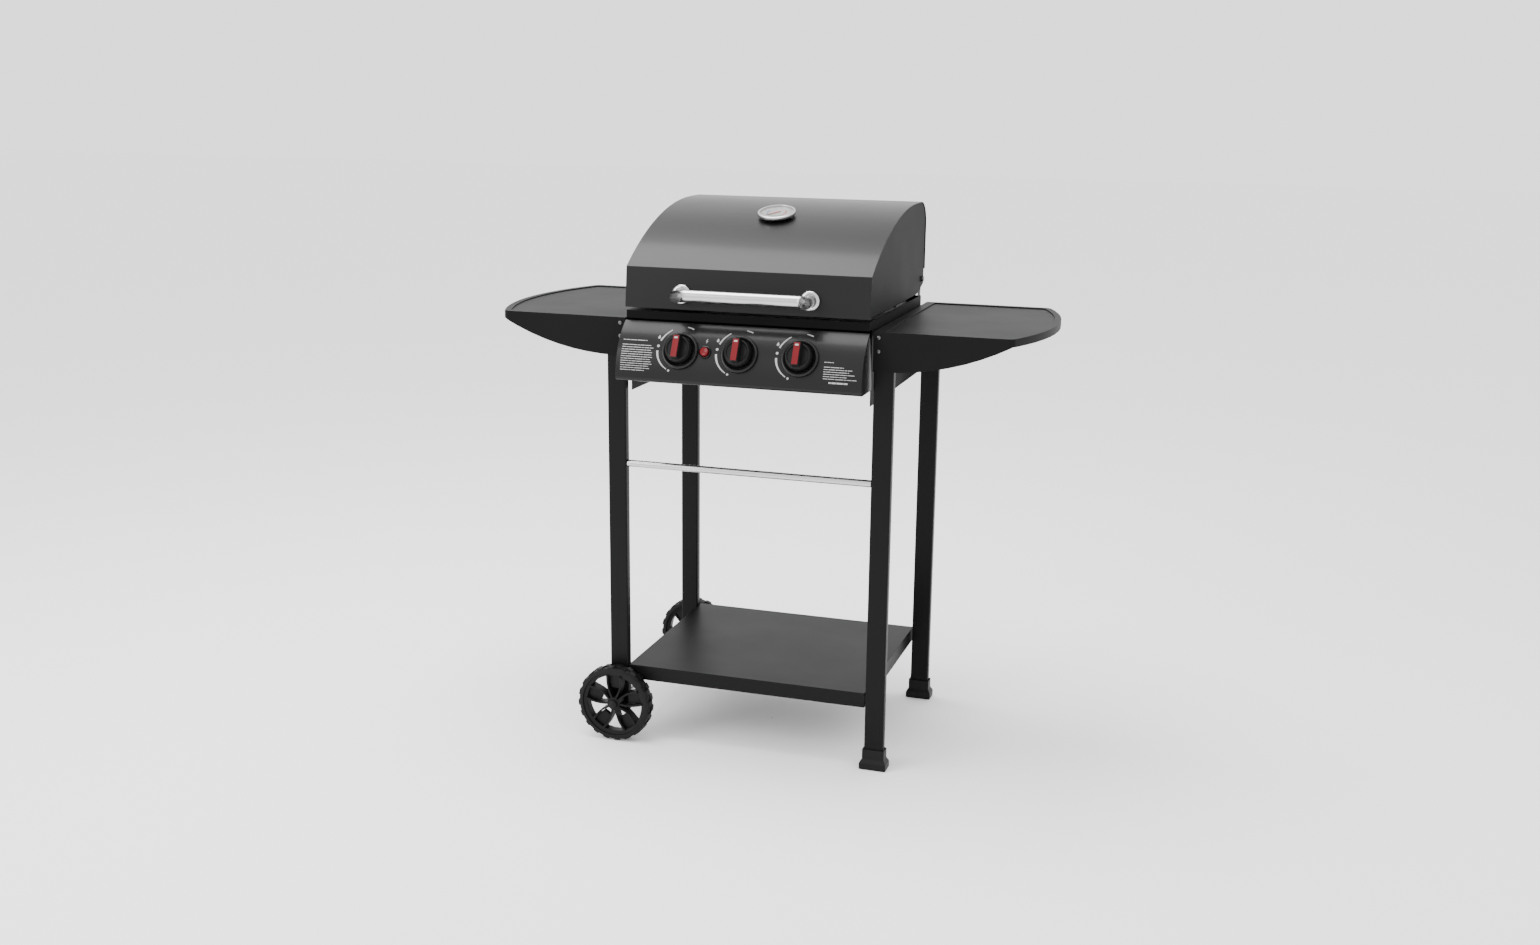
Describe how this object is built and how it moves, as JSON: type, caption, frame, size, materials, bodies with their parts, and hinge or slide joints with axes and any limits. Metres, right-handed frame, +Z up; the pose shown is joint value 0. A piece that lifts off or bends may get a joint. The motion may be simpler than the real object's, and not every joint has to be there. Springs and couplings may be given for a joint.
{
  "type": "gas barbecue grill",
  "caption": "Gas barbecue on a wheeled cart: domed hinged lid with bar handle and dial thermometer, knob panel, side tables, lower shelf and towel bar.",
  "frame": {"origin": "middle of the bounding box, on the floor", "axes": "+X to the cook's right along the side tables, +Y from the front to the back, +Z up"},
  "size_m": [1.044, 0.525, 1.0125],
  "materials": {
    "leg_paint": "black powder coat, fine orange peel, satin",
    "table_paint": "dark grey stove paint, satin",
    "body_enamel": "black heat-proof enamel, semi-gloss",
    "plain_steel": "bright plated wire and bar",
    "satin_steel": "polished to fine satin",
    "stainless": "mill-finish stainless",
    "grate_iron": "black enamelled casting",
    "black_plastic": "moulded, fine texture",
    "red_plastic": "moulded, semi-gloss red",
    "valve_brass": "turned brass",
    "dial_paint": "pale printed dial face",
    "needle_paint": "red pointer paint"
  },
  "bodies": {
    "barbecue": {"leg_front_left": "leg_paint", "leg_front_right": "leg_paint", "leg_rear_left": "leg_paint", "leg_rear_right": "leg_paint", "bottom_shelf": "leg_paint", "tray_runner_left": "leg_paint", "tray_runner_right": "leg_paint", "lid_bracket_left": "leg_paint", "lid_bracket_right": "leg_paint", "side_table_left": "table_paint", "side_table_right": "table_paint", "firebox": "body_enamel", "control_panel": "body_enamel", "axle": "plain_steel", "warming_rack": "plain_steel", "crossbar": "satin_steel", "burner_1": "stainless", "burner_2": "stainless", "burner_3": "stainless", "heat_tent_1": "stainless", "heat_tent_2": "stainless", "heat_tent_3": "stainless", "gas_manifold": "stainless", "grate_left": "grate_iron", "grate_right": "grate_iron", "hub_cap_front": "black_plastic", "hub_cap_rear": "black_plastic", "foot_front_right": "black_plastic", "foot_rear_right": "black_plastic", "bezel_1": "black_plastic", "bezel_2": "black_plastic", "bezel_3": "black_plastic", "igniter_body": "black_plastic", "valve_1": "valve_brass", "valve_2": "valve_brass", "valve_3": "valve_brass"},
    "lid": {"lid_wrapper": "body_enamel", "lid_end_left": "body_enamel", "lid_end_right": "body_enamel", "lid_handle": "satin_steel", "handle_boss_left": "satin_steel", "handle_boss_right": "satin_steel", "thermometer_case": "satin_steel", "thermometer_dial": "dial_paint", "lid_pivot_left": "stainless", "lid_pivot_right": "stainless"},
    "needle": {"thermometer_needle": "needle_paint"},
    "wheel_front": {"wheel_front": "black_plastic"},
    "wheel_rear": {"wheel_rear": "black_plastic"},
    "grease_tray": {"grease_tray": "stainless"},
    "button": {"igniter_button": "red_plastic"},
    "stem_1": {"valve_stem_1": "valve_brass"},
    "knob_1": {"knob_1": "black_plastic", "knob_grip_1": "red_plastic"},
    "stem_2": {"valve_stem_2": "valve_brass"},
    "knob_2": {"knob_2": "black_plastic", "knob_grip_2": "red_plastic"},
    "stem_3": {"valve_stem_3": "valve_brass"},
    "knob_3": {"knob_3": "black_plastic", "knob_grip_3": "red_plastic"}
  },
  "joints": [
    {"name": "lid_hinge", "type": "hinge", "parent": "barbecue", "child": "lid", "pos_m": [0, 0.21814, 0.862], "axis": [-1, 0, 0], "range_deg": [0, 92]},
    {"name": "needle_turn", "type": "hinge", "parent": "lid", "child": "needle", "pos_m": [0, -0.00586, 0.99065], "axis": [0, 0.2714, -0.9625], "range_deg": [0, 270], "stiffness_Nm_per_rad": 0.00002},
    {"name": "wheel_front_spin", "type": "hinge", "parent": "barbecue", "child": "wheel_front", "pos_m": [-0.252, -0.19636, 0.074], "axis": [0, 1, 0], "continuous": true},
    {"name": "wheel_rear_spin", "type": "hinge", "parent": "barbecue", "child": "wheel_rear", "pos_m": [-0.252, 0.24224, 0.074], "axis": [0, 1, 0], "continuous": true},
    {"name": "grease_tray_slide", "type": "slide", "parent": "barbecue", "child": "grease_tray", "axis": [0, 1, 0], "range_m": [0, 0.25]},
    {"name": "igniter_press", "type": "slide", "parent": "barbecue", "child": "button", "axis": [0, 0.8962, -0.4435], "range_m": [0, 0.0045], "stiffness_N_per_m": 400},
    {"name": "knob_1_turn", "type": "hinge", "parent": "barbecue", "child": "stem_1", "pos_m": [-0.108, -0.22581, 0.7665], "axis": [0, -0.8962, 0.4435], "range_deg": [0, 180]},
    {"name": "knob_1_push", "type": "slide", "parent": "stem_1", "child": "knob_1", "axis": [0, 0.8962, -0.4435], "range_m": [0, 0.0035], "stiffness_N_per_m": 800},
    {"name": "knob_2_turn", "type": "hinge", "parent": "barbecue", "child": "stem_2", "pos_m": [0.003, -0.22581, 0.7665], "axis": [0, -0.8962, 0.4435], "range_deg": [0, 180]},
    {"name": "knob_2_push", "type": "slide", "parent": "stem_2", "child": "knob_2", "axis": [0, 0.8962, -0.4435], "range_m": [0, 0.0035], "stiffness_N_per_m": 800},
    {"name": "knob_3_turn", "type": "hinge", "parent": "barbecue", "child": "stem_3", "pos_m": [0.114, -0.22581, 0.7665], "axis": [0, -0.8962, 0.4435], "range_deg": [0, 180]},
    {"name": "knob_3_push", "type": "slide", "parent": "stem_3", "child": "knob_3", "axis": [0, 0.8962, -0.4435], "range_m": [0, 0.0035], "stiffness_N_per_m": 800}
  ]
}
